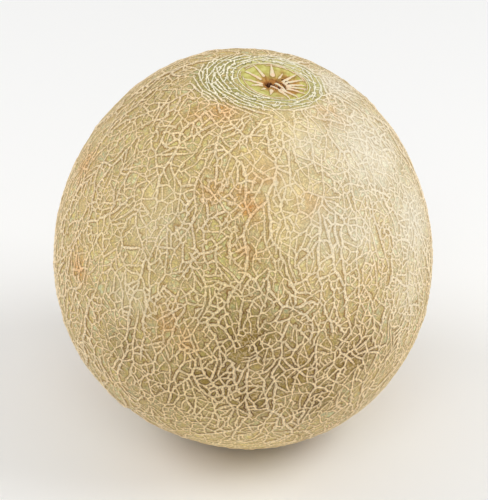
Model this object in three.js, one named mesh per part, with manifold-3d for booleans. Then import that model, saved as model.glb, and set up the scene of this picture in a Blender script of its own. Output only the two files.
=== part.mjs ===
// A whole netted melon, picked, standing on the small flat spot beside its blossom end.
// Millimetres, +Z up. The origin lies on the surface it rests on, under the middle of its box.
// The fruit grew as one piece, so it is one solid, and its net and scar are details of that one skin.
import * as THREE from "three";
import { mergeVertices } from "three/addons/utils/BufferGeometryUtils.js";
import Module from "manifold-3d";

// Driving dimensions of the fruit, about its own axis from blossom end to stem end.
const EQUATOR_DIAMETER = 148;
const LENGTH_OVER_EQUATOR = 1.09; // before the stem end is flattened
const LOWER_FULLNESS = 0.084; // share by which the blossom half is wider than a plain oval
const STEM_FLATTENING = 6.7; // how far the stem end is pressed in at its middle
const STEM_FLATTENING_REACH = 22; // radius over which that fades out
const LOBE_COUNT = 5; // gentle unevenness round the girth
const LOBE_HEIGHT = 0.5;

// The shallow dish where the stalk came away.
const SCAR_DISH_DEPTH = 1.6;
const SCAR_DISH_REACH = 8;

// How the fruit stands.
const STEM_LEAN = THREE.MathUtils.degToRad(10.8); // the stem end leans towards +X
const SIDE_SKEW = -0.037; // and the flesh swells the other way, per millimetre of height
const FLAT_SPOT_RADIUS = 17;

// Fineness of the mesh.
const GIRTH_STEPS = 64;
const LENGTH_STEPS = 42;
const POLE_CROWDING = 0.35; // 0 spaces the rings evenly, more draws them towards the stem end
const MERGE_DISTANCE = 0.001; // points closer than this are one

const EQUATOR_RADIUS = EQUATOR_DIAMETER / 2;
const HALF_LENGTH = EQUATOR_RADIUS * LENGTH_OVER_EQUATOR;

const wasm = await Module();
wasm.setup();

// One point of the outline, at an angle from the blossom end (0) to the stem end (PI).
function outlinePoint(angle) {
  const towardsStem = -Math.cos(angle);
  const radius = EQUATOR_RADIUS * Math.sin(angle) * (1 - LOWER_FULLNESS * towardsStem);
  let height = HALF_LENGTH * towardsStem;
  if (towardsStem > 0) {
    height -= STEM_FLATTENING * Math.exp(-((radius / STEM_FLATTENING_REACH) ** 2));
    height -= SCAR_DISH_DEPTH * Math.exp(-((radius / SCAR_DISH_REACH) ** 2));
  }
  return new THREE.Vector2(radius, height);
}

// The outline turned about the fruit's axis, with its rings drawn together at the stem end.
function turnedFruit() {
  const outline = [];
  for (let ring = 0; ring <= LENGTH_STEPS; ring++) {
    const share = ring / LENGTH_STEPS;
    const crowded = share + (POLE_CROWDING * Math.sin(Math.PI * share) * share) / 2;
    outline.push(outlinePoint(Math.PI * crowded));
  }
  outline[0].x = 0;
  outline[LENGTH_STEPS].x = 0;
  return new THREE.LatheGeometry(outline, GIRTH_STEPS).rotateX(Math.PI / 2);
}

// Gentle lobes round the girth, which fade out at both ends.
function addLobes(geometry) {
  const points = geometry.getAttribute("position");
  const point = new THREE.Vector3();
  for (let i = 0; i < points.count; i++) {
    point.fromBufferAttribute(points, i);
    const radius = Math.hypot(point.x, point.y);
    if (radius === 0) continue;
    const turn = Math.atan2(point.y, point.x);
    const swell = LOBE_HEIGHT * (radius / EQUATOR_RADIUS) ** 2 * Math.cos(LOBE_COUNT * turn);
    points.setXY(i, point.x * (1 + swell / radius), point.y * (1 + swell / radius));
  }
  return geometry;
}

// The fruit leans as it came to rest, and its flesh is skewed a little the other way.
function standUp(geometry) {
  const skew = new THREE.Matrix4().makeShear(0, 0, 0, 0, SIDE_SKEW, 0);
  return geometry.rotateY(STEM_LEAN).applyMatrix4(skew);
}

// A closed solid from a geometry, on its positions alone.
function solidOf(geometry) {
  const bare = geometry.clone();
  bare.deleteAttribute("normal");
  bare.deleteAttribute("uv");
  const merged = mergeVertices(bare, MERGE_DISTANCE);
  return new wasm.Manifold(
    new wasm.Mesh({
      numProp: 3,
      vertProperties: merged.getAttribute("position").array,
      triVerts: new Uint32Array(merged.index.array),
    }),
  );
}

function geometryOf(solid) {
  const { vertProperties, triVerts } = solid.getMesh();
  const geometry = new THREE.BufferGeometry();
  geometry.setAttribute("position", new THREE.BufferAttribute(vertProperties, 3));
  geometry.setIndex(new THREE.BufferAttribute(triVerts, 1));
  return geometry;
}

// The underside pressed flat where the fruit rests, then moved to stand on the origin.
function pressFlat(geometry) {
  geometry.computeBoundingBox();
  const { min, max } = geometry.boundingBox;
  const undersideRadius = (EQUATOR_RADIUS * (1 + LOWER_FULLNESS)) ** 2 / HALF_LENGTH;
  const pressedIn = undersideRadius - Math.sqrt(undersideRadius ** 2 - FLAT_SPOT_RADIUS ** 2);
  const floor = min.z + pressedIn;
  const below = new THREE.BoxGeometry(2 * EQUATOR_DIAMETER, 2 * EQUATOR_DIAMETER, EQUATOR_DIAMETER);
  below.translate(0, 0, floor - EQUATOR_DIAMETER / 2);
  const pressed = geometryOf(solidOf(geometry).subtract(solidOf(below)));
  return pressed.translate(-(min.x + max.x) / 2, -(min.y + max.y) / 2, -floor);
}

const skin = new THREE.MeshStandardMaterial({ color: 0xcbb589, roughness: 0.75, metalness: 0 });
const geometry = pressFlat(standUp(addLobes(turnedFruit())));
geometry.computeVertexNormals();

const melon = new THREE.Mesh(geometry, skin);
melon.name = "melon";

const part = new THREE.Group();
part.add(melon);

export default part;
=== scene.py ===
import math
from itertools import product

import bpy
import numpy as np
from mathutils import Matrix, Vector
from mathutils.bvhtree import BVHTree
from mathutils.geometry import delaunay_2d_cdt
from mathutils.kdtree import KDTree


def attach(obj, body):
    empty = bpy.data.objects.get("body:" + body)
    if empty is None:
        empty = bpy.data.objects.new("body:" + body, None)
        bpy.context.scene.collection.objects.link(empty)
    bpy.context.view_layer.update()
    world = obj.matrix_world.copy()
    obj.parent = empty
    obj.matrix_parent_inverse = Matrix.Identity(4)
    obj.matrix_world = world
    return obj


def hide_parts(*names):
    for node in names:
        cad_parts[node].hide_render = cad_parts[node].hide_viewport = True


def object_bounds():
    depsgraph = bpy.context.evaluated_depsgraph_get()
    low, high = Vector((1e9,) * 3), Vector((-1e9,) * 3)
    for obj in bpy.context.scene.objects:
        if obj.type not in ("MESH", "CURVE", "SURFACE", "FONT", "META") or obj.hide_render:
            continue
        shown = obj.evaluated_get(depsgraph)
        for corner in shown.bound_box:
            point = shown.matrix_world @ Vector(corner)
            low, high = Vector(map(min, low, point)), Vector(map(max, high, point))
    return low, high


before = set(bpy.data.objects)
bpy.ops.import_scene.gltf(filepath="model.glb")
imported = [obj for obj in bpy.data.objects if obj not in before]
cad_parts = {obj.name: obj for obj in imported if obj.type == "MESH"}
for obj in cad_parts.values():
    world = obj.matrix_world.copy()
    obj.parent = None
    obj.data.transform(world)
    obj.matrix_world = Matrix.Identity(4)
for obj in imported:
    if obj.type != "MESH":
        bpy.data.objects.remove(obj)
CAD_LOW, CAD_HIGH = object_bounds()

MM = 0.001
TINY = 1e-12
MERGE_REACH = 1e-9
MERGE_DECIMALS = 7
RANDOM_SEED = 7
NET_SEED = 12

# Fruit
MIDDLE = np.array((CAD_LOW + CAD_HIGH) / 2)
MEAN_RADIUS = float(sum(CAD_HIGH - CAD_LOW)) / 6
STEM_POLE = np.array((11.4, 0.0, 149.9)) * MM
FACET_ROUNDING = 0.75  # 0 keeps the solid's flat facets, 1 rounds them fully
NET_RELIEF = 0.75 * MM  # how far inside the solid's surface the skin lies
WANDER_WAVES = 14
WANDER_SCALE = 0.6 * math.sqrt(2.0 / WANDER_WAVES)
UV_MARGIN = 0.045  # clear edge of each patch of the unwrapped rind

# Net of cork ridges: lines that grow step by step, branch, and end where they meet another.
# A strength of two numbers is a mean and a spread, and so is the turn in degrees of a side line.
LINE_STEP = 1.5 * MM
MEETING_REACH = 1.08 * MM
LINE_WAVINESS = 0.27
LINE_STRAIGHTENING = 0.25
STEM_PULL = 0.10
SORTING_BOX = 3.6 * MM
RELAXING_ROUNDS = 2
RELAXING_SHARE = 0.4
RIM_STRENGTH = 0.5
DRAWN_STRENGTH = (1.0, 0.1)
DRAWN_SWAY = 0.25 * LINE_STEP
MAIN_TRIES = 620
MAIN_GAP = 3.6 * MM
MAIN_STEPS = 16
MAIN_STRENGTH = (0.68, 0.18)
MAIN_TURN_SPREAD = 0.6
MAIN_SCAR_SHARE = 1.2  # no main line starts nearer the stem, in radii of the scar
SIDE_GAP = 2.0 * MM
SIDE_GAP_SPREAD = 0.22
SIDE_GAP_LESS_RIGHT = 0.06
SIDE_GAP_LESS_UP = 0.05
SIDE_GAP_LESS_IN_RINGS = 0.25
SIDE_ROOM = 0.85  # share of its gap that has to be free ahead of a branch
SIDE_SCAR_GAP = 0.5 * MM
SIDE_TURN = (64, 20)
SIDE_STEPS = 22
SIDE_OWN_POINTS = 5  # points of its own line, each way, that may be nearer
SIDE_STRENGTH = (0.14, 0.13)
SIDE_STRENGTH_SHARE = 0.50
SIDE_LEAST_STRENGTH = 0.15
SPUR_SHARE = 0.36
SPUR_STEPS = 2

# Ridges along those lines
STRENGTH_WAVES = (75.0, 22.0)
STRENGTH_WANDER = 0.22
MOST_STRENGTH = 1.2
CROSSING_STRENGTH = 0.5
TAPER_STEPS = (-2.0, 4.0)  # where a loose end's taper starts and ends
RIDGE_LEAST_HALF_WIDTH = 0.40 * MM
RIDGE_HALF_WIDTH = 0.88 * MM
RIDGE_HEIGHT = 0.75 * MM
CORNER_NARROWEST = math.radians(12)
CORNER_WIDEST = math.radians(150)
CORNER_REACH = 2.2
FOOT_CLEARANCE = 0.6
FOOT_SPACING = 0.16 * MM
SHORTEST_BRIDGE = 0.5 * MM
DASH_SHARE = 0.006
DASH_DARKNESS = 0.66
DASH_DEPTH = 0.15 * MM
DASH_LEAST_STRENGTH = 0.3

# Rings of the net round the stem, which reach furthest out on the left
RING_TRIES = 2500
RING_START = 1.2 * MM
RING_GAP = 1.2 * MM
RING_STEPS = 6
RING_PULL = 0.6
RING_STRENGTH = (0.5, 0.12)
RING_THINNING = (0.2, 0.8)  # zone over which the rings thin out
RING_WIDTH_SHARE = 0.55
RING_REACH = 7.0 * MM
RING_LONG_REACH = 12.0 * MM
RING_LONG_AT = math.radians(195)
RING_FADE_START = 0.6
RING_FADE_END = 1.1

# Stem scar, with lengths in mm where no unit is given
SCAR_RADIUS = 13.4 * MM
SCAR_RING_STEP = 0.32 * MM
SCAR_RINGS = int(SCAR_RADIUS / SCAR_RING_STEP)
SCAR_FIRST_RING = 0.7  # first gap inside the rim, in ring steps
SCAR_SPLIT = 4  # columns of the scar's grid for each step of its rim
SCAR_LUMP_WAVES = 1.4
SCAR_GRAIN_WAVES = 4.0
SCAR_GRAIN_HEIGHT = 0.08 * MM
# Thin rings of cork near the scar's rim
THREAD_RADII = (11.7, 12.6)
THREAD_HALF_WIDTH = 0.24
THREAD_STRENGTH = 0.75
THREAD_SWAY = 0.35
THREAD_SWAY_WAVES = 2.5
THREAD_BREAK_WAVES = 6.0
THREAD_BREAKS = (-0.8, 0.0)
# Torn middle of the scar, with its pits and hole
TORN_FADE = (3.6, 5.6)
TORN_SWAY = 0.8
TORN_LIFT = 0.5
TORN_LUMPS = 0.5
TORN_GRAIN = 0.3
PIT_FADE = (0.2, 0.9)
PIT_DARKNESS = 0.6
HOLE_AT = np.array((-1.6, 0.2)) * MM
HOLE_RADII = np.array((1.7, 2.0)) * MM
HOLE_DEPTH = 2.4 * MM
HOLE_DARKNESS = 1.5
# Brown round the torn middle, which spills further out on the right
STAIN_FADE = (4.5, 8.0)
STAIN_STRENGTH = 0.8
SPILL_FADE = (8.0, 12.5)
SPILL_SWAY = 1.2
SPILL_STRENGTH = 0.9
SPILL_FACING = (-0.2, 0.7)
# Cork rays of the scar
RAY_HEIGHT = 0.9 * MM
RAY_BEND = 0.35
RAY_BEND_LENGTH = 4 * MM
RAY_INNER_WIDTH = 1.55  # at a ray's inner end, times its half width
RAY_NARROWING = 1.25  # how much less it is at the outer end
RAY_START = 1.2
RAY_END = 1.5
RAY_OVERRUN = 0.5
# Each ray's angle round the stem in degrees, inner and outer end, and half width
RAYS = (
    (95, 5.5, 13.0, 0.70), (66, 5.0, 9.5, 0.35), (43, 4.5, 12.5, 0.55), (21, 4.5, 12.5, 0.50),
    (2, 4.5, 13.0, 0.50), (-13, 4.0, 13.0, 0.45), (-28, 5.0, 13.5, 0.45), (-48, 3.0, 14.0, 0.55),
    (-64, 3.0, 14.5, 0.65), (-97, 4.5, 11.5, 0.60), (-122, 5.5, 9.5, 0.35), (-143, 4.5, 11.0, 0.50),
    (-170, 3.5, 12.0, 0.50), (161, 4.5, 12.5, 0.50), (128, 5.0, 13.5, 0.50),
)

# Torn strands over the middle of the scar
FIBRE_COUNT = 8
FIBRE_SIDES = 6
FIBRE_STATIONS = 9
FIBRE_LENGTH = (7.0 * MM, 11.5 * MM)
FIBRE_RADIUS = 0.44 * MM
FIBRE_THICKNESS = (0.7, 1.1)
FIBRE_TAPER = 0.6
FIBRE_SPACING = 0.80 * MM
FIBRE_LIFT = 0.8 * MM
FIBRE_ARCH = (0.5, 1.2)
FIBRE_ARCH_POWER = 0.7
FIBRE_SINK = 0.15
FIBRE_START = np.array((1.2, 2.4)) * MM
FIBRE_START_SPREAD = 0.4 * MM
FIBRE_HEADING = math.radians(-44)
FIBRE_SPREAD = math.radians(6)
FIBRE_SWEEP = math.radians(-16)

# Camera, in the frame of a picture 488 wide and 500 high
PICTURE_WIDTH = 488
PICTURE_HEIGHT = 500
VIEW_ELEVATION = math.radians(32.0)
VIEW_DISTANCE = 1.1
VIEW_AIM = Vector((0.3, 0.0, 76.3)) * MM
VIEW_BACK = Vector((0.0, -math.cos(VIEW_ELEVATION), math.sin(VIEW_ELEVATION)))
SENSOR = 36.0
LENS = 202.35

# Main ridges as the picture shows them: column and row of the points that each runs through
PICTURE_RIDGES = (
    ((222, 246), (204, 253), (191, 262), (185, 272), (178, 280)),
    ((212, 236), (205, 243), (199, 246)),
    ((213, 249), (215, 257), (216, 264), (220, 269), (222, 279)),
    ((194, 278), (194, 290), (186, 295), (180, 299)),
    ((229, 243), (230, 257), (230, 265)),
    ((196, 232), (198, 227), (204, 226), (208, 216), (213, 212)),
    ((146, 299), (145, 312), (142, 321), (143, 330), (144, 339), (141, 351), (140, 361)),
    ((146, 301), (159, 294), (166, 285)),
    ((187, 303), (178, 308), (166, 316), (157, 322)),
    ((202, 351), (181, 350), (175, 355), (168, 361)),
    ((215, 335), (216, 343), (220, 351), (221, 359), (217, 364)),
    ((226, 333), (234, 345), (235, 353)),
    ((234, 362), (234, 376), (236, 388), (241, 396)),
    ((251, 341), (258, 351), (247, 364)),
    ((265, 321), (258, 334)),
    ((201, 332), (208, 326), (218, 325), (227, 332)),
    ((207, 308), (214, 295), (221, 295)),
    ((268, 266), (269, 282), (267, 297)),
    ((326, 313), (334, 331), (338, 335)),
    ((347, 315), (351, 326), (353, 336)),
    ((311, 344), (312, 333), (314, 324), (306, 315), (298, 311), (290, 312)),
    ((336, 347), (346, 356), (355, 365)),
)

# Tinted spots as the picture shows them: column and row of the middle, reach in pixels, and strength
SPOTS = {
    "orange": (
        (251, 207, 14, 0.95), (244, 192, 12, 0.6), (247, 252, 15, 0.6), (78, 268, 13, 0.9),
        (168, 326, 20, 0.6), (185, 342, 18, 0.5), (222, 110, 14, 0.8), (196, 112, 14, 0.5),
        (212, 192, 13, 0.5), (262, 178, 18, 0.5), (84, 165, 20, 0.7), (310, 205, 14, 0.4),
        (330, 112, 16, 0.4),
    ),
    "gold": (
        (280, 192, 32, 1.0), (284, 232, 26, 0.8), (262, 165, 28, 0.8), (290, 130, 32, 0.8),
        (312, 222, 20, 0.6), (140, 225, 34, 0.5), (136, 285, 34, 0.7), (160, 200, 26, 0.7),
        (235, 448, 50, 0.8), (325, 256, 28, 0.5), (104, 236, 30, 0.5),
    ),
    # Pale spots: partly the skin's own pale bloom, partly painted light that brightens and flattens the upper
    # right side.
    "pale": (
        (372, 150, 74, 0.95), (414, 218, 58, 0.95), (362, 232, 34, 0.7), (338, 222, 46, 0.6),
        (412, 285, 42, 0.6), (335, 84, 34, 1.0), (290, 66, 22, 0.9), (310, 145, 30, 0.6),
        (284, 180, 30, 0.35), (158, 226, 32, 0.25), (128, 295, 24, 0.3),
    ),
    # Dark spots: partly the skin's own olive-brown, partly painted shade that darkens the lower part of the
    # fruit.
    "dark": (
        (248, 345, 46, 1.0), (295, 372, 52, 1.0), (215, 380, 44, 1.0), (165, 392, 44, 0.8),
        (250, 402, 36, 1.0), (318, 398, 38, 1.0), (352, 358, 46, 1.0), (150, 92, 40, 0.35),
        (205, 100, 26, 0.3), (200, 425, 34, 0.6), (250, 424, 26, 0.5), (128, 352, 42, 0.6),
        (386, 345, 28, 0.6), (120, 305, 26, 0.3),
    ),
    "green": (
        (215, 290, 34, 0.9), (222, 250, 26, 0.7), (245, 268, 24, 0.8), (225, 328, 34, 0.9),
        (195, 352, 34, 0.9), (200, 400, 40, 0.8), (280, 275, 30, 0.5), (182, 142, 36, 0.5),
        (140, 138, 30, 0.4),
    ),
}

# Fainter tints in bands from end to end, where the picture shows nothing
BAND_STRENGTH = 0.45
BAND_WAVES = 4.0
BAND_FADE = (0.35, 1.0)
BAND_STRETCH = np.array((1.0, 1.0, 0.4))
UNSEEN_FADE = (0.15, -0.15)
OLIVE_FADE = (1.0 * MM, 5.0 * MM)  # distance from the scar where the rings' olive sets in

# Values that the rind's vertices carry for its material
VALUES = (
    "cork", "weight", "speck",
    "orange", "gold", "pale", "dark", "green", "white", "olive",
    "scar", "scar_ridge", "scar_brown",
)
# Tints of skin and ridges by those values, in order: the value, its share, and the colour on screen
SKIN_TINTS = (
    ("green", 0.75, (198, 193, 118)),
    # dark: the skin's own darker tone and painted shade on the lower part
    ("dark", 0.95, (140, 112, 44)),
    ("gold", 1.0, (234, 210, 140)),
    ("pale", 1.0, (236, 228, 203)),
    ("white", 0.8, (198, 192, 118)),
    ("olive", 0.7, (142, 136, 74)),
)
RIDGE_TINTS = (
    ("green", 0.7, (232, 209, 152)),
    # dark: the ridges' own darker tone and painted shade on the lower part
    ("dark", 0.5, (216, 189, 143)),
    ("gold", 0.7, (246, 224, 172)),
    ("pale", 1.0, (240, 230, 206)),
    ("white", 0.75, (238, 233, 208)),
)

# Stage: each light's place and size in metres and its power in watts
LIGHTS = {
    "key": ((0.98, -0.13, 0.92), 0.8, 7.2),
    "fill": ((-1.04, 0.13, 0.86), 0.8, 5.3),
    "front": ((-0.1, -1.05, 1.30), 0.9, 3.6),
}
BACKDROP_STRENGTH = 0.52
FLOOR_HALF_SIZE = 3.0
FLOOR_GAP = 0.1 * MM

STEM_DISTANCE = float(np.linalg.norm(STEM_POLE - MIDDLE))
STEM_AXIS = (STEM_POLE - MIDDLE) / STEM_DISTANCE
STEM_BACK = np.array((0.0, 1.0, 0.0))
STEM_RIGHT = np.cross(STEM_BACK, STEM_AXIS)
STEM_FRAME = np.stack((STEM_RIGHT, STEM_BACK, STEM_AXIS))
SCAR_ANGLE = SCAR_RADIUS / STEM_DISTANCE
PIXEL = VIEW_DISTANCE * SENSOR / LENS / PICTURE_HEIGHT


def unit(vectors):
    return vectors / np.maximum(np.linalg.norm(vectors, axis=-1, keepdims=True), TINY)


def smoothstep(low, high, value):
    t = np.minimum(np.maximum((value - low) / (high - low), 0.0), 1.0)
    return t * t * (3.0 - 2.0 * t)


def bell(value):
    return np.exp(-(value ** 2))


def varied(rng, mean, spread):
    return mean + spread * rng.normal()


# Directions from the fruit's middle, in a frame whose third axis is the stem's


def polar(directions):
    """Angle from the stem, and angle round it from the picture's right towards its back."""
    theta = np.arccos(np.clip(directions[:, 2], -1.0, 1.0))
    return theta, np.arctan2(directions[:, 1], directions[:, 0])


def from_polar(theta, phi):
    return np.stack((np.sin(theta) * np.cos(phi), np.sin(theta) * np.sin(phi), np.cos(theta)), axis=-1)


def ring_zone(x, y, z):
    """1 beside the scar, falling to 0 where the rings round the stem end. Takes directions."""
    reach = RING_REACH + RING_LONG_REACH * long_side(x, y)
    return 1.0 - smoothstep(RING_FADE_START * reach, RING_FADE_END * reach, from_rim(z))


def from_rim(z):
    """Distance from the scar's rim, for the third coordinate of directions."""
    return MEAN_RADIUS * (np.arccos(np.minimum(z, 1.0)) - SCAR_ANGLE)


def long_side(x, y):
    """1 on the side of the stem where the rings reach furthest out, 0 on the other."""
    return np.maximum(np.cos(np.arctan2(y, x) - RING_LONG_AT), 0.0) ** 2


class Wander:
    """A smooth random field, about -1 to 1, from a few plane waves."""

    def __init__(self, rng, waves):
        self.waves = rng.normal(size=(WANDER_WAVES, 3)) * waves
        self.phases = rng.uniform(0, 2 * math.pi, WANDER_WAVES)

    def __call__(self, places):
        return np.cos(places @ self.waves.T + self.phases).sum(axis=1) * WANDER_SCALE


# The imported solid's surface


class Fruit:
    """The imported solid's surface along directions from its middle, rounded across its facets."""

    def __init__(self, node):
        mesh = node.data
        mesh.calc_loop_triangles()
        corners = np.array([v.co for v in mesh.vertices])
        rounded = np.round(corners, MERGE_DECIMALS)
        self.points, merged = np.unique(rounded, axis=0, return_inverse=True)
        self.triangles = merged.reshape(-1)[np.array([t.vertices for t in mesh.loop_triangles])]
        self.tree = BVHTree.FromPolygons(self.points.tolist(), self.triangles.tolist())
        a, b, c = (self.points[self.triangles[:, i]] for i in range(3))
        normals = np.zeros_like(self.points)
        for i in range(3):
            np.add.at(normals, self.triangles[:, i], np.cross(b - a, c - a))
        self.normals = unit(normals)

    def surface(self, directions):
        """Points of the surface along directions given in the part's frame."""
        origin = Vector(MIDDLE)
        hits = [self.tree.ray_cast(origin, Vector(d)) for d in directions]
        flat = np.array([hit[0] for hit in hits])
        corner = self.triangles[[hit[2] for hit in hits]]
        weights = self.weights(flat, corner)
        rounded = np.zeros_like(flat)
        for i in range(3):
            normal = self.normals[corner[:, i]]
            away = ((flat - self.points[corner[:, i]]) * normal).sum(axis=1, keepdims=True)
            rounded += weights[:, i:i + 1] * (flat - away * normal)
        return flat + FACET_ROUNDING * (rounded - flat)

    def weights(self, flat, corner):
        """Barycentric weights of points in their triangles."""
        a, b, c = (self.points[corner[:, i]] for i in range(3))
        whole = np.cross(b - a, c - a)
        area = (whole * whole).sum(axis=1)
        second = (np.cross(flat - a, c - a) * whole).sum(axis=1) / area
        third = (np.cross(b - a, flat - a) * whole).sum(axis=1) / area
        return np.stack((1 - second - third, second, third), axis=1)

    def seen_at(self, column, row):
        """Direction, in the stem's frame, of the point that the picture shows at a column and row."""
        up = Vector((0.0, math.sin(VIEW_ELEVATION), math.cos(VIEW_ELEVATION)))
        across = (column - PICTURE_WIDTH / 2) * PIXEL
        above = (PICTURE_HEIGHT / 2 - row) * PIXEL
        eye = VIEW_AIM + VIEW_DISTANCE * VIEW_BACK
        place = VIEW_AIM + Vector((across, 0.0, 0.0)) + above * up
        hit = self.tree.ray_cast(eye, (place - eye).normalized())[0]
        return STEM_FRAME @ unit(np.array(hit) - MIDDLE)


# Growth of the net, on a sphere of the fruit's mean radius in the stem's frame


def on_sphere(place):
    return place * (MEAN_RADIUS / place.length)


def level(heading, place):
    """The part of a heading that runs along the sphere at a place."""
    return (heading - place * (heading.dot(place) / place.length_squared)).normalized()


def turned(heading, place, angle):
    return heading * math.cos(angle) + place.normalized().cross(heading) * math.sin(angle)


def towards_stem(place):
    return level(Vector((0.0, 0.0, 1.0)), place)


def round_stem(place):
    return level(Vector((-place.y, place.x, 0.0)), place)


class Ridge:
    """A line of the net: its points' numbers in order, its strength, and whether each end meets a line."""

    def __init__(self, numbers, strength, meets):
        self.numbers = numbers
        self.strength = strength
        self.meets = meets


class Net:
    """The points of the net, and the ridges that run through them."""

    def __init__(self, rng):
        self.rng = rng
        self.points = []
        self.ridges = []
        self.boxes = {}

    def box(self, place):
        return tuple(math.floor(c / SORTING_BOX) for c in place)

    def add(self, place):
        self.points.append(place)
        number = len(self.points) - 1
        self.boxes.setdefault(self.box(place), []).append(number)
        return number

    def around(self, place, reach, skip):
        """Numbers and squared distances of the points within reach that aren't skipped."""
        spans = [range(c - 1, c + 2) for c in self.box(place)]
        for box in product(*spans):
            for number in self.boxes.get(box, ()):
                apart = (self.points[number] - place).length_squared
                if apart < reach * reach and number not in skip:
                    yield apart, number

    def crowded(self, place, reach, skip=()):
        return next(self.around(place, reach, skip), None) is not None

    def nearest(self, place, reach, skip=()):
        """Number of the nearest point within reach that isn't skipped, or None."""
        return min(self.around(place, reach, skip), default=(0.0, None))[1]

    def grow(self, numbers, heading, steps, grain=towards_stem, pull=STEM_PULL):
        """Lengthens a line from its last point. Returns whether it met another line.

        Grain gives the direction at a place that pull draws the heading towards, either way along it.
        """
        place = self.points[numbers[-1]]
        bend = 0.0
        for _ in range(steps):
            turn = LINE_WAVINESS * self.rng.normal() - LINE_STRAIGHTENING * bend
            bend += turn
            heading = turned(heading, place, turn)
            along = grain(place)
            heading = (heading + along * math.copysign(pull, along.dot(heading))).normalized()
            place = on_sphere(place + heading * LINE_STEP)
            heading = level(heading, place)
            met = self.nearest(place, MEETING_REACH, numbers[-2:])
            if met is not None:
                numbers.append(met)
                return True
            numbers.append(self.add(place))
        return False

    def steps(self):
        """Pairs of points that follow each other along a line."""
        return np.concatenate([np.stack((r.numbers[:-1], r.numbers[1:]), axis=1) for r in self.ridges])

    def relaxed(self, rim_count):
        """Directions of the points, drawn towards their neighbours so that lines and corners round off.

        The rim and loose ends stay.
        """
        points = np.array(self.points)
        steps = self.steps()
        here, there = np.concatenate((steps, steps[:, ::-1])).T
        neighbours = np.bincount(here, minlength=len(points))
        free = neighbours > 1
        free[:rim_count] = False
        for _ in range(RELAXING_ROUNDS):
            total = np.zeros_like(points)
            np.add.at(total, here, points[there])
            middle = total[free] / neighbours[free, None]
            points[free] += RELAXING_SHARE * (middle - points[free])
        return unit(points)

    def lay_rim(self):
        """The scar's rim, as a closed line of the first points. Returns how many they are."""
        count = round(2 * math.pi * math.sin(SCAR_ANGLE) * MEAN_RADIUS / LINE_STEP)
        phi = np.arange(count) * 2 * math.pi / count
        theta = np.full(count, SCAR_ANGLE)
        numbers = [self.add(Vector(d) * MEAN_RADIUS) for d in from_polar(theta, phi)]
        self.ridges.append(Ridge(numbers + numbers[:1], RIM_STRENGTH, (True, True)))
        return count

    def meet_or_add(self, place):
        """Number of the point that lies there already, or of a new one, and whether one did."""
        met = self.nearest(place, MEETING_REACH)
        if met is None:
            return self.add(on_sphere(place)), False
        return met, True

    def lay_drawn(self, corners, strength):
        """A line through given places. Each end meets the line that lies there already, if any."""
        places = [Vector(c) * MEAN_RADIUS for c in corners]
        line = []
        for here, there in zip(places[:-1], places[1:]):
            steps = max(1, round((there - here).length / LINE_STEP))
            for step in range(steps):
                along = on_sphere(here.lerp(there, step / steps))
                aside = along.normalized().cross(there - here).normalized()
                sway = DRAWN_SWAY * self.rng.normal() if step else 0.0
                line.append(along + aside * sway)
        first, first_meets = self.meet_or_add(line[0])
        inner = [self.add(on_sphere(place)) for place in line[1:]]
        last, last_meets = self.meet_or_add(places[-1])
        self.ridges.append(Ridge([first, *inner, last], strength, (first_meets, last_meets)))

    def lay_both_ways(self, place, heading, strength, *growth):
        """A line that grows from its middle."""
        numbers = [self.add(place)]
        first = self.grow(numbers, heading, *growth)
        numbers.reverse()
        last = self.grow(numbers, -heading, *growth)
        if len(numbers) > 2:
            self.ridges.append(Ridge(numbers, strength, (first, last)))

    def lay_rings(self):
        """Short lines round the stem."""
        for _ in range(RING_TRIES):
            away = self.rng.uniform(RING_START, RING_REACH + RING_LONG_REACH)
            theta = SCAR_ANGLE + away / MEAN_RADIUS
            place = Vector(from_polar(theta, self.rng.uniform(0, 2 * math.pi))) * MEAN_RADIUS
            zone = ring_zone(*(place / MEAN_RADIUS))
            if zone < self.rng.uniform(*RING_THINNING) or self.crowded(place, RING_GAP):
                continue
            strength = varied(self.rng, *RING_STRENGTH)
            self.lay_both_ways(place, round_stem(place), strength, RING_STEPS, round_stem, RING_PULL)

    def lay_mains(self):
        """Long thick lines, most of them towards the stem."""
        for _ in range(MAIN_TRIES):
            place = on_sphere(Vector(self.rng.normal(size=3)))
            inside = place.z > MEAN_RADIUS * math.cos(MAIN_SCAR_SHARE * SCAR_ANGLE)
            if inside or self.crowded(place, MAIN_GAP):
                continue
            heading = turned(towards_stem(place), place, MAIN_TURN_SPREAD * self.rng.normal())
            strength = varied(self.rng, *MAIN_STRENGTH)
            self.lay_both_ways(place, heading, strength, MAIN_STEPS)

    def lay_sides(self):
        """Branches from every line, wherever there is room, until the whole fruit is covered."""
        sites = []
        for ridge in self.ridges:
            sites += self.sites_of(ridge)
        while sites:
            pick = int(self.rng.integers(len(sites)))
            sites[pick], sites[-1] = sites[-1], sites[pick]
            ridge = self.lay_side(*sites.pop())
            if ridge:
                self.ridges.append(ridge)
                sites += self.sites_of(ridge)

    def sites_of(self, ridge):
        """Places for a branch: the line, an inner point's place in it, and the side."""
        return [(ridge, i, side) for i in range(1, len(ridge.numbers) - 1) for side in (-1, 1)]

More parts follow.
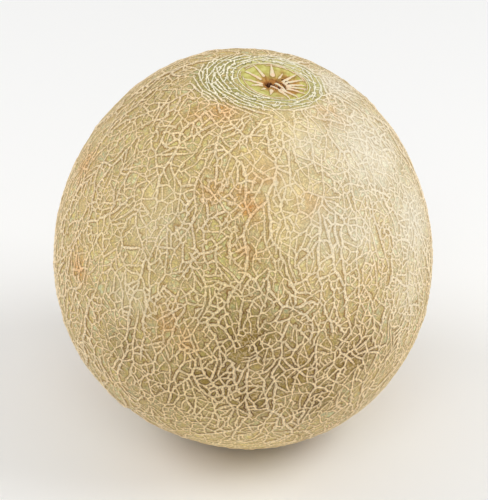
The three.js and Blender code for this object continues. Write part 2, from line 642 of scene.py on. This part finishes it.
    def lay_side(self, parent, i, side):
        """A branch to one side of a line, or None where there is no room."""
        numbers = parent.numbers
        place = self.points[numbers[i]]
        along = level(self.points[numbers[i + 1]] - self.points[numbers[i - 1]], place)
        heading = turned(along, place, side * math.radians(varied(self.rng, *SIDE_TURN)))
        x, y, z = place / MEAN_RADIUS
        gap = SIDE_GAP * (1.0 - SIDE_GAP_LESS_RIGHT * x - SIDE_GAP_LESS_UP * z)
        gap *= 1.0 - SIDE_GAP_LESS_IN_RINGS * ring_zone(x, y, z)
        gap *= math.exp(SIDE_GAP_SPREAD * self.rng.normal())
        ahead = on_sphere(place + heading * gap)
        own = set(numbers[max(0, i - SIDE_OWN_POINTS):i + SIDE_OWN_POINTS + 1])
        inside = ahead.z > MEAN_RADIUS * math.cos(SCAR_ANGLE + SIDE_SCAR_GAP / MEAN_RADIUS)
        if inside or self.crowded(ahead, SIDE_ROOM * gap, own):
            return None
        steps = SPUR_STEPS if self.rng.random() < SPUR_SHARE else SIDE_STEPS
        mean, spread = SIDE_STRENGTH
        strength = varied(self.rng, mean + SIDE_STRENGTH_SHARE * parent.strength, spread)
        branch = numbers[i:i + 1]
        met = self.grow(branch, heading, steps)
        if len(branch) < 3:
            return None
        return Ridge(branch, max(SIDE_LEAST_STRENGTH, strength), (True, met))


def grow_net(fruit, rng):
    """The whole net, and how many of its first points lie on the scar's rim."""
    net = Net(rng)
    rim_count = net.lay_rim()
    for corners in PICTURE_RIDGES:
        places = [fruit.seen_at(*corner) for corner in corners]
        net.lay_drawn(places, varied(rng, *DRAWN_STRENGTH))
    net.lay_rings()
    net.lay_mains()
    net.lay_sides()
    return net, rim_count


# Mesh of the rind


class Rind:
    """Vertices, faces and point values of the rind, gathered part by part in the stem's frame."""

    def __init__(self):
        self.directions = []
        self.heights = []
        self.values = {name: [] for name in VALUES}
        self.faces = []
        self.count = 0

    def add(self, directions, heights, **values):
        """Adds vertices at heights over the skin, and returns the number of the first one."""
        first = self.count
        self.count += len(directions)
        self.directions.append(directions)
        self.heights.append(np.broadcast_to(heights, len(directions)))
        for name, column in self.values.items():
            column.append(np.broadcast_to(values.get(name, 0.0), len(directions)))
        return first

    def join(self, *corners):
        """Adds one triangle for each entry of three columns of vertex numbers."""
        self.faces.append(np.stack(corners, axis=-1))


def point_strengths(net, directions, rng):
    """Strength of the net at each point. Loose ends taper off."""
    strength = np.zeros(len(directions))
    for ridge in net.ridges:
        along = np.arange(len(ridge.numbers))
        taper = np.ones(len(along))
        for meets, steps in zip(ridge.meets, (along, along[::-1])):
            if not meets:
                taper *= smoothstep(*TAPER_STEPS, steps)
        np.maximum.at(strength, ridge.numbers, ridge.strength * taper)
    change = 1.0
    for waves in STRENGTH_WAVES:
        change = change + STRENGTH_WANDER * Wander(rng, waves)(directions)
    return strength * change


def tree_of(places):
    """A search tree of places by their numbers."""
    tree = KDTree(len(places))
    for number, place in enumerate(places):
        tree.insert(place, number)
    tree.balance()
    return tree


class Feet:
    """The feet of the ridges: directions, the net's point that each belongs to, and which are dark dashes."""

    def __init__(self, net, crests, strength, rng):
        self.crests = crests
        self.width = (RIDGE_LEAST_HALF_WIDTH + RIDGE_HALF_WIDTH * strength) / MEAN_RADIUS
        self.width *= 1.0 - (1.0 - RING_WIDTH_SHARE) * ring_zone(*crests.T)
        lists = [ridge.numbers for ridge in net.ridges]
        self.uses = np.bincount(np.concatenate(lists), minlength=len(crests))
        self.steps = net.steps()
        parts = (self.beside_lines(net), self.beyond_tips(net), self.in_corners())
        self.directions = unit(np.concatenate([feet for feet, _ in parts]))
        self.owner = np.concatenate([owner for _, owner in parts])
        self.dash = rng.random(len(self.owner)) < DASH_SHARE
        self.dash &= strength[self.owner] > DASH_LEAST_STRENGTH
        self.keep_clear()

    def beside_lines(self, net):
        """Feet on both sides of the points inside a line or at a loose end, away from where lines meet."""
        rows = []
        for ridge in net.ridges:
            n = ridge.numbers
            rows += zip(n[1:-1], n[:-2], n[2:])
            if not ridge.meets[0]:
                rows.append((n[0], n[0], n[1]))
            if not ridge.meets[1]:
                rows.append((n[-1], n[-2], n[-1]))
        here, before, after = np.array(rows).T
        alone = self.uses[here] < 2
        here, before, after = here[alone], before[alone], after[alone]
        aside = unit(np.cross(self.crests[here], self.crests[after] - self.crests[before]))
        aside *= self.width[here][:, None]
        return np.concatenate((self.crests[here] + aside, self.crests[here] - aside)), np.tile(here, 2)

    def beyond_tips(self, net):
        """A foot past each loose end."""
        firsts = [(r.numbers[0], r.numbers[1]) for r in net.ridges if not r.meets[0]]
        lasts = [(r.numbers[-1], r.numbers[-2]) for r in net.ridges if not r.meets[1]]
        end, inner = np.array(firsts + lasts).T
        beyond = unit(self.crests[end] - self.crests[inner]) * self.width[end][:, None]
        return self.crests[end] + beyond, end

    def in_corners(self):
        """A foot in each corner between lines that meet."""
        both = np.concatenate((self.steps, self.steps[:, ::-1]))
        at, to = both[self.uses[both[:, 0]] > 1].T
        width = self.width[to]
        east = unit(np.cross((0.0, 0.0, 1.0), self.crests[at]))
        north = np.cross(self.crests[at], east)
        ahead = self.crests[to] - self.crests[at]
        angle = np.arctan2((ahead * north).sum(axis=1), (ahead * east).sum(axis=1))
        order = np.lexsort((angle, at))
        at, angle, east, north, width = at[order], angle[order], east[order], north[order], width[order]
        last = np.append(at[1:] != at[:-1], True)
        following = np.where(last, np.searchsorted(at, at), np.arange(len(at)) + 1)
        span = (angle[following] - angle) % (2 * math.pi)
        sharp = (span > CORNER_NARROWEST) & (span < CORNER_WIDEST)
        half = span / 2
        stretch = np.minimum(1.0 / np.maximum(np.sin(half), TINY), CORNER_REACH)
        reach = (width + width[following]) / 2 * stretch
        towards = np.cos(angle + half)[:, None] * east + np.sin(angle + half)[:, None] * north
        feet = self.crests[at] + towards * reach[:, None]
        return feet[sharp], at[sharp]

    def keep_clear(self):
        """Drops the feet that lie on another ridge or inside the scar."""
        middles = unit(self.crests[self.steps].sum(axis=1))
        widths = np.concatenate((self.width, self.width[self.steps].mean(axis=1)))
        tree = tree_of(np.concatenate((self.crests, middles)))
        found = [tree.find(foot) for foot in self.directions]
        number = np.array([f[1] for f in found])
        away = np.array([f[2] for f in found])
        clear = (away > FOOT_CLEARANCE * widths[number]) & (polar(self.directions)[0] > SCAR_ANGLE)
        clear &= spaced(self.directions, FOOT_SPACING / MEAN_RADIUS)
        self.directions = self.directions[clear]
        self.owner = self.owner[clear]
        self.dash = self.dash[clear]


def spaced(directions, reach):
    """Which directions to keep so that none lies within reach of one kept before it."""
    tree = tree_of(directions)
    keep = np.ones(len(directions), bool)
    for number, direction in enumerate(directions):
        if keep[number]:
            close = [other for _, other, _ in tree.find_range(direction, reach) if other > number]
            keep[close] = False
    return keep


def sphere_triangles(directions, steps):
    """Triangles between directions with the net's steps as edges, and the directions where steps cross.

    The last direction is the pole that the rest are projected from. Crossings are numbered after it.
    """
    flat = directions[:-1, :2] / (1.0 + directions[:-1, 2:3])
    places = [Vector(p) for p in flat]
    corners, _, faces, sources, _, _ = delaunay_2d_cdt(places, steps.tolist(), [], 0, MERGE_REACH)
    corners = np.array(corners)
    number = np.array([ids[0] if ids else -1 for ids in sources])
    added = corners[number < 0]
    number[number < 0] = len(directions) + np.arange(len(added))
    squared = (added ** 2).sum(axis=1, keepdims=True)
    crossings = np.concatenate((2 * added, 1 - squared), axis=1) / (1 + squared)
    faces = np.array(faces)
    inner = number[faces]
    a, b, c = (corners[faces[:, i]] for i in range(3))
    turn = (b - a)[:, 0] * (c - a)[:, 1] - (b - a)[:, 1] * (c - a)[:, 0]
    inner[turn < 0] = inner[turn < 0][:, ::-1]
    start, end = inner.ravel(), inner[:, (1, 2, 0)].ravel()
    count = len(directions) + len(added)
    foot_tone_and_shade = ~np.isin(end * count + start, start * count + end)
    pole = np.full(foot_tone_and_shade.sum(), len(directions) - 1)
    closing = np.stack((end[foot_tone_and_shade], start[foot_tone_and_shade], pole), axis=1)
    return np.concatenate((inner, closing)), crossings


def false_bridges(faces, steps, count):
    """Pairs of the net's points that an edge joins although no ridge runs between them."""
    edges = np.concatenate((faces[:, (0, 1)], faces[:, (1, 2)], faces[:, (2, 0)]))
    edges = edges[(edges < count).all(axis=1) & (edges[:, 0] < edges[:, 1])]
    ordered = np.sort(steps, axis=1)
    real = np.isin(edges[:, 0] * count + edges[:, 1], ordered[:, 0] * count + ordered[:, 1])
    return edges[~real]


def lay_net(rind, net, rim_count, rng):
    """Adds the crests of all ridges, the feet beside them, and the skin between."""
    crests = net.relaxed(rim_count)
    strength = point_strengths(net, crests, rng)
    feet = Feet(net, crests, strength, rng)
    under = np.array(((0.0, 0.0, -1.0),))
    faces, _ = sphere_triangles(np.concatenate((crests, feet.directions, under)), feet.steps)
    outside = faces[(faces >= rim_count).any(axis=1)]
    bridges = false_bridges(outside, feet.steps, len(crests))
    span = np.linalg.norm(crests[bridges[:, 0]] - crests[bridges[:, 1]], axis=1) * MEAN_RADIUS
    bridges = bridges[span > SHORTEST_BRIDGE]
    floors = unit(crests[bridges].sum(axis=1))
    apart = spaced(np.concatenate((feet.directions, floors)), FOOT_SPACING / MEAN_RADIUS)[-len(floors):]
    bridges, floors = bridges[apart], floors[apart]

    rind.add(crests, RIDGE_HEIGHT * np.minimum(strength, MOST_STRENGTH), cork=1.0, weight=strength)
    sunk = -DASH_DEPTH * feet.dash
    rind.add(feet.directions, sunk, weight=strength[feet.owner], speck=DASH_DARKNESS * feet.dash)
    rind.add(floors, 0.0, weight=strength[bridges].mean(axis=1))
    rind.add(under, 0.0)
    faces, crossings = sphere_triangles(np.concatenate(rind.directions), feet.steps)
    rind.add(crossings, CROSSING_STRENGTH * RIDGE_HEIGHT, cork=1.0, weight=CROSSING_STRENGTH)
    rind.join(*faces[(faces >= rim_count).any(axis=1)].T)


def scar_threads(away, turn, rng):
    """Thin broken rings of cork on the outer part of the scar, from 0 to 1, at mm from the stem."""
    circle = np.stack((np.cos(turn), np.sin(turn), 0 * turn), axis=1)
    threads = np.zeros_like(turn)
    for radius in THREAD_RADII:
        wavy = radius + THREAD_SWAY * Wander(rng, THREAD_SWAY_WAVES)(circle)
        shown = THREAD_STRENGTH * smoothstep(*THREAD_BREAKS, Wander(rng, THREAD_BREAK_WAVES)(circle))
        threads = np.maximum(threads, shown * bell((away - wavy) / THREAD_HALF_WIDTH))
    return threads


def scar_rays(x, y, rng):
    """Cork rays that run outwards on the scar, from 0 to 1."""
    rays = np.zeros_like(x)
    for angle, inner, outer, half_width in RAYS:
        turn = math.radians(angle)
        bend = RAY_BEND * rng.normal() * np.sin(np.hypot(x, y) / RAY_BEND_LENGTH)
        along = (x * math.cos(turn) + y * math.sin(turn)) / MM
        across = (y * math.cos(turn) - x * math.sin(turn)) / MM + bend
        width = half_width * (RAY_INNER_WIDTH - RAY_NARROWING * smoothstep(inner, outer, along))
        begun = smoothstep(inner - RAY_START, inner + RAY_START, along)
        ended = smoothstep(outer - RAY_END, outer + RAY_OVERRUN, along)
        rays = np.maximum(rays, begun * (1 - ended) * bell(across / width))
    return rays


def scar_relief(x, y, rng):
    """The scar's height over the skin, and its ridge, brown and dark values, at metres beside the stem."""
    distance = np.hypot(x, y)
    away = distance / MM
    flat = np.stack((x, y, 0 * x), axis=1) / MM
    ridge = np.maximum(scar_threads(away, np.arctan2(y, x), rng), scar_rays(x, y, rng))
    lumps = Wander(rng, SCAR_LUMP_WAVES)(flat)
    grain = Wander(rng, SCAR_GRAIN_WAVES)(flat)
    torn = 1.0 - smoothstep(*TORN_FADE, away + TORN_SWAY * lumps)
    hole = np.exp(-(((x - HOLE_AT[0]) / HOLE_RADII[0]) ** 2 + ((y - HOLE_AT[1]) / HOLE_RADII[1]) ** 2))
    height = RAY_HEIGHT * ridge * (1 - torn)
    height += torn * (TORN_LIFT + TORN_LUMPS * lumps + TORN_GRAIN * grain) * MM
    height -= HOLE_DEPTH * hole
    height += SCAR_GRAIN_HEIGHT * grain
    facing = smoothstep(*SPILL_FACING, x / np.maximum(distance, MM))
    spill = facing * (1.0 - smoothstep(*SPILL_FADE, away + SPILL_SWAY * lumps))
    stain = 1.0 - smoothstep(*STAIN_FADE, away + lumps)
    brown = np.maximum(np.maximum(torn, SPILL_STRENGTH * spill), STAIN_STRENGTH * stain)
    pits = torn * smoothstep(*PIT_FADE, -grain)
    dark = np.clip(HOLE_DARKNESS * hole + PIT_DARKNESS * pits, 0, 1)
    return height, ridge * (1 - torn), brown, dark


def beside_stem(x, y):
    """Directions of places at metres right and back of the stem."""
    return from_polar(np.hypot(x, y) / STEM_DISTANCE, np.arctan2(y, x))


def scar_grid(theta, phi):
    """Places beside the stem of the scar's polar grid, ring by ring from its rim to its middle."""
    share = np.arange(SCAR_SPLIT) / SCAR_SPLIT
    gap = np.diff(np.append(phi, phi[0] + 2 * math.pi))
    turns = (phi[:, None] + gap[:, None] * share).ravel()
    edge = (theta[:, None] * (1 - share) + np.roll(theta, -1)[:, None] * share).ravel()
    inward = (np.arange(SCAR_RINGS) + SCAR_FIRST_RING) / (SCAR_RINGS + SCAR_FIRST_RING)
    angles = edge * (1 - inward[:, None])
    x = (angles * np.cos(turns)).ravel() * STEM_DISTANCE
    y = (angles * np.sin(turns)).ravel() * STEM_DISTANCE
    return np.append(x, 0.0), np.append(y, 0.0)


def stitch_scar(rind, rim, grid):
    """Joins the rim to the grid's outer ring, each ring to the next, and the last to the middle."""
    around = SCAR_SPLIT * len(rim)
    start = SCAR_SPLIT * np.arange(len(rim))
    inner = [grid + (start + i) % around for i in range(SCAR_SPLIT + 1)]
    after = np.roll(rim, -1)
    half = SCAR_SPLIT // 2
    for i in range(half):
        rind.join(inner[i], rim, inner[i + 1])
    rind.join(rim, after, inner[half])
    for i in range(half, SCAR_SPLIT):
        rind.join(inner[i], after, inner[i + 1])
    column = np.arange(around)
    beside = np.roll(column, -1)
    for ring in range(SCAR_RINGS - 1):
        outer = grid + ring * around
        inward = outer + around
        rind.join(inward + column, outer + column, outer + beside)
        rind.join(inward + column, outer + beside, inward + beside)
    last = grid + (SCAR_RINGS - 1) * around
    rind.join(np.full(around, last + around), last + column, last + beside)


def lay_scar(rind, rim, rng):
    """Adds the scar's patch inside the rim: a fine polar grid, stitched to the rim's vertices."""
    theta, phi = polar(np.concatenate(rind.directions)[rim])
    order = np.argsort(phi)
    x, y = scar_grid(theta[order], phi[order])
    height, ridge, brown, dark = scar_relief(x, y, rng)
    grid = rind.add(beside_stem(x, y), height, scar=1.0, scar_ridge=ridge, scar_brown=brown, speck=dark)
    stitch_scar(rind, rim[order], grid)


def lay_strand(rind, x, y, height, radius, **values):
    """Adds a closed tube along places right and back of the stem, at heights over the skin."""
    ahead = np.gradient(np.stack((x, y), axis=1), axis=0)
    aside = unit(np.stack((-ahead[:, 1], ahead[:, 0]), axis=1))
    turn = np.arange(FIBRE_SIDES) * 2 * math.pi / FIBRE_SIDES
    across = radius[:, None] * np.cos(turn)
    ring_x = (x[:, None] + aside[:, :1] * across).ravel()
    ring_y = (y[:, None] + aside[:, 1:] * across).ravel()
    rings = (height[:, None] + radius[:, None] * np.sin(turn)).ravel()
    first = rind.add(beside_stem(ring_x, ring_y), rings, **values)
    tip = rind.add(beside_stem(x[[0, -1]], y[[0, -1]]), height[[0, -1]], **values)

    side = np.arange(FIBRE_SIDES)
    beside = np.roll(side, -1)
    for station in range(len(x) - 1):
        here = first + station * FIBRE_SIDES
        there = here + FIBRE_SIDES
        rind.join(here + side, there + beside, there + side)
        rind.join(here + side, here + beside, there + beside)
    last = first + (len(x) - 1) * FIBRE_SIDES
    rind.join(np.full(FIBRE_SIDES, tip), first + beside, first + side)
    rind.join(np.full(FIBRE_SIDES, tip + 1), last + side, last + beside)


def lay_fibres(rind, rng):
    """Adds the torn strands: a bundle side by side that sweeps to the right, every second one dark."""
    along = np.linspace(0.0, 1.0, FIBRE_STATIONS)
    aside = np.array((-math.sin(FIBRE_HEADING), math.cos(FIBRE_HEADING))) * FIBRE_SPACING
    for number in range(FIBRE_COUNT):
        heading = FIBRE_HEADING + FIBRE_SPREAD * rng.normal() + FIBRE_SWEEP * along
        length = rng.uniform(*FIBRE_LENGTH) * along
        start = FIBRE_START + aside * (number - (FIBRE_COUNT - 1) / 2)
        start = start + FIBRE_START_SPREAD * rng.normal(size=2)
        x = start[0] + length * np.cos(heading)
        y = start[1] + length * np.sin(heading)
        arch = np.sin(math.pi * along ** FIBRE_ARCH_POWER) * rng.uniform(*FIBRE_ARCH)
        radius = FIBRE_RADIUS * rng.uniform(*FIBRE_THICKNESS) * (1.0 - FIBRE_TAPER * along)
        dark = float(number % 2)
        lay_strand(rind, x, y, FIBRE_LIFT * (arch - FIBRE_SINK), radius, scar=1.0, scar_ridge=1.0, speck=dark)


def spots(fruit, rows, directions):
    """How strongly spots of the picture tint each direction, from 0 to 1."""
    tint = np.zeros(len(directions))
    for column, row, reach, strength in rows:
        away = np.linalg.norm(directions - fruit.seen_at(column, row), axis=1) * MEAN_RADIUS
        tint = np.maximum(tint, strength * bell(away / (reach * PIXEL)))
    return tint


def tint_rind(rind, fruit):
    """Sets the values that tint the rind: as the picture shows, with bands where it shows nothing."""
    rng = np.random.default_rng(RANDOM_SEED)
    directions = np.concatenate(rind.directions)
    unseen = smoothstep(*UNSEEN_FADE, (directions @ STEM_FRAME) @ np.array(VIEW_BACK))
    for name, rows in SPOTS.items():
        band = smoothstep(*BAND_FADE, Wander(rng, BAND_WAVES)(directions * BAND_STRETCH))
        rind.values[name] = [np.maximum(spots(fruit, rows, directions), BAND_STRENGTH * unseen * band)]
    x, y, z = directions.T
    zone = ring_zone(x, y, z)
    rind.values["white"] = [zone]
    rind.values["olive"] = [zone * long_side(x, y) * smoothstep(*OLIVE_FADE, from_rim(z))]


def make_mesh(name, points, faces):
    mesh = bpy.data.meshes.new(name)
    mesh.from_pydata(points.tolist(), [], faces.tolist())
    mesh.shade_smooth()
    piece = bpy.data.objects.new(name, mesh)
    bpy.context.scene.collection.objects.link(piece)
    return piece


def add_value(mesh, name, values):
    layer = mesh.attributes.new(name, "FLOAT", "POINT")
    layer.data.foreach_set("value", values.astype(np.float32))


def unwrap(mesh, directions, faces):
    """Six square patches, one for each side of a box round the fruit, three across and two up."""
    corner = directions[faces]
    centre = unit(corner.mean(axis=1))
    axis = np.abs(centre).argmax(axis=1)
    side = axis * 2 + (centre[np.arange(len(faces)), axis] < 0)
    depth, across, up = (
        np.take_along_axis(corner, ((axis + i) % 3)[:, None, None], axis=2)[:, :, 0] for i in range(3)
    )
    angles = np.stack((np.arctan2(across, np.abs(depth)), np.arctan2(up, np.abs(depth))), axis=-1)
    inside = UV_MARGIN + (angles / (math.pi / 2) + 0.5) * (1 - 2 * UV_MARGIN)
    place = np.stack((side % 3, side // 3), axis=-1)[:, None, :]
    uv = (inside + place) / np.array((3.0, 2.0))
    layer = mesh.uv_layers.new(name="OFBake")
    layer.data.foreach_set("uv", uv.astype(np.float32).ravel())


def build_piece(name, rind, fruit):
    """A mesh of what a rind has gathered, on the fruit's surface."""
    tint_rind(rind, fruit)
    faces = np.concatenate(rind.faces)
    directions = np.concatenate(rind.directions) @ STEM_FRAME
    heights = np.concatenate(rind.heights)
    points = fruit.surface(directions) + directions * (heights - NET_RELIEF)[:, None]
    points[:, 2] = np.maximum(points[:, 2], CAD_LOW.z)
    piece = make_mesh(name, points, faces)
    for value, column in rind.values.items():
        add_value(piece.data, value, np.concatenate(column))
    unwrap(piece.data, directions, faces)
    return piece


def build_rind(fruit, rng):
    """The whole outside of the fruit as one closed mesh."""
    rind = Rind()
    net, rim_count = grow_net(fruit, rng)
    lay_net(rind, net, rim_count, rng)
    lay_scar(rind, np.arange(rim_count), np.random.default_rng(RANDOM_SEED))
    return build_piece("melon_rind", rind, fruit)


def build_fibres(fruit):
    """The torn strands over the middle of the scar."""
    rind = Rind()
    lay_fibres(rind, np.random.default_rng(RANDOM_SEED))
    return build_piece("stem_scar_fibres", rind, fruit)


# Materials


class Shader:
    """A material's node tree, with one short call for each kind of node."""

    def __init__(self, name):
        self.material = bpy.data.materials.new(name)
        self.material.use_nodes = True
        self.tree = self.material.node_tree
        self.surface = self.tree.nodes["Principled BSDF"]
        self.place = self.add("TexCoord", {}).outputs["Object"]

    def add(self, kind, inputs, **settings):
        node = self.tree.nodes.new("ShaderNode" + kind)
        for name, setting in settings.items():
            setattr(node, name, setting)
        self.put(node, inputs)
        return node

    def put(self, node, inputs):
        """Links or sets inputs of a node by their names or numbers."""
        for key, value in inputs.items():
            if isinstance(value, bpy.types.NodeSocket):
                self.tree.links.new(value, node.inputs[key])
            else:
                node.inputs[key].default_value = value

    def value(self, name):
        return self.add("Attribute", {}, attribute_name=name).outputs["Fac"]

    def noise(self, scale, detail=2.0, roughness=0.5):
        inputs = {"Vector": self.place, "Scale": scale, "Detail": detail, "Roughness": roughness}
        return self.add("TexNoise", inputs).outputs["Fac"]

    def cracks(self, scale, waviness):
        """Distance from a net of fine wavy lines, in cells."""
        sway = self.add("TexNoise", {"Vector": self.place, "Scale": scale})
        moving = {0: sway.outputs["Color"], 1: (waviness / scale,) * 3, 2: self.place}
        moved = self.add("VectorMath", moving, operation="MULTIPLY_ADD")
        cells = {"Vector": moved.outputs["Vector"], "Scale": scale}
        return self.add("TexVoronoi", cells, feature="DISTANCE_TO_EDGE").outputs["Distance"]

    def brightened(self, shade, amount):
        return self.add("HueSaturation", {"Color": shade, "Value": amount}).outputs["Color"]

    def math(self, operation, *values):
        return self.add("Math", dict(enumerate(values)), operation=operation).outputs["Value"]

    def times(self, first, second):
        return self.math("MULTIPLY", first, second)

    def times_plus(self, first, second, third):
        return self.math("MULTIPLY_ADD", first, second, third)

    def step(self, value, low, high, to_low=0.0, to_high=1.0):
        """A smooth step of value from low to high."""
        inputs = dict(enumerate((value, low, high, to_low, to_high)))
        return self.add("MapRange", inputs, interpolation_type="SMOOTHSTEP").outputs["Result"]

    def mix(self, factor, first, second):
        inputs = {"Factor": factor, "A": first, "B": second}
        return self.add("Mix", inputs, data_type="RGBA").outputs["Result"]

    def tinted(self, shade, name, share, tint):
        """A colour mixed with a tint by a share of a value."""
        return self.mix(self.times(self.value(name), share), shade, colour(*tint))

    def bump(self, height, strength, distance):
        node = self.add("Bump", {"Height": height, "Strength": strength, "Distance": distance})
        self.put(self.surface, {"Normal": node.outputs["Normal"]})


def colour(red, green, blue):
    """A linear colour from screen values of 0 to 255."""
    def linear(level):
        level = level / 255
        return level / 12.92 if level <= 0.04045 else ((level + 0.055) / 1.055) ** 2.4
    return linear(red), linear(green), linear(blue), 1.0


def skin_colour(s, orange):
    """Skin between the ridges: grey-green and tan in small patches, tinted by place."""
    cell = s.step(s.noise(340.0), 0.42, 0.60)
    patch = s.step(s.noise(120.0, 3.0, 0.6), 0.45, 0.65, 0.0, 0.8)
    skin = s.mix(cell, colour(213, 193, 121), colour(211, 213, 168))
    skin = s.mix(patch, skin, colour(215, 190, 125))
    for tint in SKIN_TINTS:
        skin = s.tinted(skin, *tint)
    skin = s.mix(orange, skin, colour(208, 140, 68))
    return s.brightened(skin, s.step(s.noise(90.0, 3.0), 0.3, 0.7, 0.87, 1.13))


def ridge_colour(s, cork, weight, fine, orange, calm):
    """Cork of the ridges: tan, cream where it is thick, with a painted highlight along the crest, tinted by
    place.
    """
    patch = s.step(s.noise(90.0), 0.4, 0.7, 0.0, 0.6)
    ridge = s.mix(s.step(weight, 0.3, 0.85), colour(219, 197, 153), colour(231, 211, 174))
    ridge = s.mix(patch, ridge, colour(227, 201, 161))
    for tint in RIDGE_TINTS:
        ridge = s.tinted(ridge, *tint)
    ridge = s.mix(s.times(orange, 0.7), ridge, colour(234, 178, 114))
    # Painted highlight: a brighter line along each ridge's crest, weaker where the rind is calm.
    crest_highlight = s.times(s.step(s.times_plus(fine, 0.4, cork), 0.92, 1.12), calm)
    return s.brightened(ridge, s.times_plus(crest_highlight, 0.24, 0.95))


def threads(s, skin, calm):
    """Fine lines on the skin between the ridges: pale threads with dark edges, in broken stretches."""
    away = s.cracks(560.0, 0.9)
    shown = s.times(s.step(s.noise(260.0), 0.36, 0.50), calm)
    edge = s.times(s.step(away, 0.26, 0.13), shown)
    skin = s.mix(s.times(edge, 0.45), skin, colour(144, 110, 54))
    line = s.times(s.step(away, 0.13, 0.06), shown)
    return s.mix(s.times(line, 0.6), skin, colour(226, 200, 150))


def disc_colour(s, fine):
    """Stem scar: yellow-green, brown towards the torn middle, with pale cork ridges edged in dark brown,
    partly painted shade at their feet.
    """
    ridge = s.value("scar_ridge")
    mottle = s.step(s.noise(420.0, 3.0), 0.4, 0.62)
    disc = s.mix(mottle, colour(214, 209, 128), colour(192, 184, 98))
    torn = s.mix(mottle, colour(192, 134, 64), colour(152, 98, 42))
    disc = s.mix(s.value("scar_brown"), disc, torn)
    # The disc darkens beside the cork rays: partly dark brown tissue, partly painted shade at the feet of the
    # raised rays.
    disc = s.mix(s.step(ridge, 0.06, 0.30, 0.0, 0.75), disc, colour(152, 118, 52))
    cork = s.mix(s.step(s.noise(700.0), 0.4, 0.6), colour(246, 216, 182), colour(240, 228, 194))
    return s.mix(s.step(s.times_plus(fine, 0.4, ridge), 0.55, 0.78), disc, cork)


def rind_material():
    s = Shader("melon_rind")
    cork = s.value("cork")
    weight = s.value("weight")
    fine = s.noise(1000.0, 3.0, 0.6)
    orange = s.times(s.value("orange"), s.step(s.noise(260.0, 3.0), 0.30, 0.55))
    # Calm weakens the painted shade, the painted highlight, the threads and the grain where the rind is pale
    # or gold.
    calm = s.times_plus(s.value("pale"), -0.65, 1.0)
    calm = s.times_plus(s.value("gold"), -0.30, calm)

    skin = threads(s, skin_colour(s, orange), calm)
    # The skin darkens on each ridge's flank down to its foot: partly the skin's own darker edge tone, partly
    # painted shade beside the raised cork.
    shade = s.times(s.step(cork, -0.05, 0.30), s.step(weight, 0.1, 0.7, 0.75, 1.0))
    foot_tone_and_shade = s.mix(s.value("dark"), colour(161, 123, 68), colour(84, 46, 17))
    foot_tone_and_shade = s.mix(s.value("white"), foot_tone_and_shade, colour(132, 126, 62))
    skin = s.mix(s.times(shade, calm), skin, foot_tone_and_shade)
    mask = s.step(s.times_plus(fine, 0.6, cork), 0.68, 0.82)
    rind = s.mix(mask, skin, ridge_colour(s, cork, weight, fine, orange, calm))
    grain = s.times(s.step(s.noise(1600.0, 1.0), 0.32, 0.68, -0.24, 0.24), calm)
    rind = s.brightened(rind, s.math("ADD", grain, 1.0))
    rind = s.mix(s.value("scar"), rind, disc_colour(s, fine))
    rind = s.mix(s.step(s.value("speck"), 0.45, 0.8), rind, colour(92, 54, 26))

    roughness = s.step(cork, 0.1, 0.6, 0.55, 0.85)
    s.put(s.surface, {"Base Color": rind, "Roughness": roughness, "Specular IOR Level": 0.25})
    s.bump(fine, 0.35, 0.15 * MM)
    return s.material


def floor_material():
    s = Shader("pale_floor")
    s.put(s.surface, {"Base Color": colour(250, 250, 249), "Roughness": 0.9})
    return s.material


# Stage


def add_floor():
    size = FLOOR_HALF_SIZE
    mesh = bpy.data.meshes.new("floor")
    corners = [(-size, -size, 0), (size, -size, 0), (size, size, 0), (-size, size, 0)]
    mesh.from_pydata(corners, [], [(0, 1, 2, 3)])
    floor = bpy.data.objects.new("floor", mesh)
    floor.location.z = CAD_LOW.z - FLOOR_GAP
    bpy.context.scene.collection.objects.link(floor)
    mesh.materials.append(floor_material())


def aim(thing, place, target):
    thing.location = place
    thing.rotation_euler = (Vector(target) - Vector(place)).to_track_quat("-Z", "Y").to_euler()
    bpy.context.scene.collection.objects.link(thing)


def add_light(name, place, size, power):
    data = bpy.data.lights.new(name, "AREA")
    data.shape = "DISK"
    data.size = size
    data.energy = power
    aim(bpy.data.objects.new(name, data), place, MIDDLE)


def add_lights():
    for name, light in LIGHTS.items():
        add_light(name, *light)
    world = bpy.data.worlds.new("studio")
    world.use_nodes = True
    backdrop = world.node_tree.nodes["Background"]
    backdrop.inputs["Color"].default_value = (1.0, 1.0, 1.0, 1.0)
    backdrop.inputs["Strength"].default_value = BACKDROP_STRENGTH
    bpy.context.scene.world = world
    bpy.context.scene.view_settings.view_transform = "Standard"


def add_camera():
    data = bpy.data.cameras.new("camera")
    data.sensor_width = SENSOR
    data.lens = LENS
    camera = bpy.data.objects.new("camera", data)
    aim(camera, VIEW_AIM + VIEW_DISTANCE * VIEW_BACK, VIEW_AIM)
    bpy.context.scene.camera = camera


add_camera()
add_floor()
add_lights()
fruit = Fruit(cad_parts["melon"])
rng = np.random.default_rng(NET_SEED)
material = rind_material()
rind = build_rind(fruit, rng)
fibres = build_fibres(fruit)
for piece in (rind, fibres):
    piece.data.materials.append(material)
    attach(piece, "root")
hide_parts("melon")
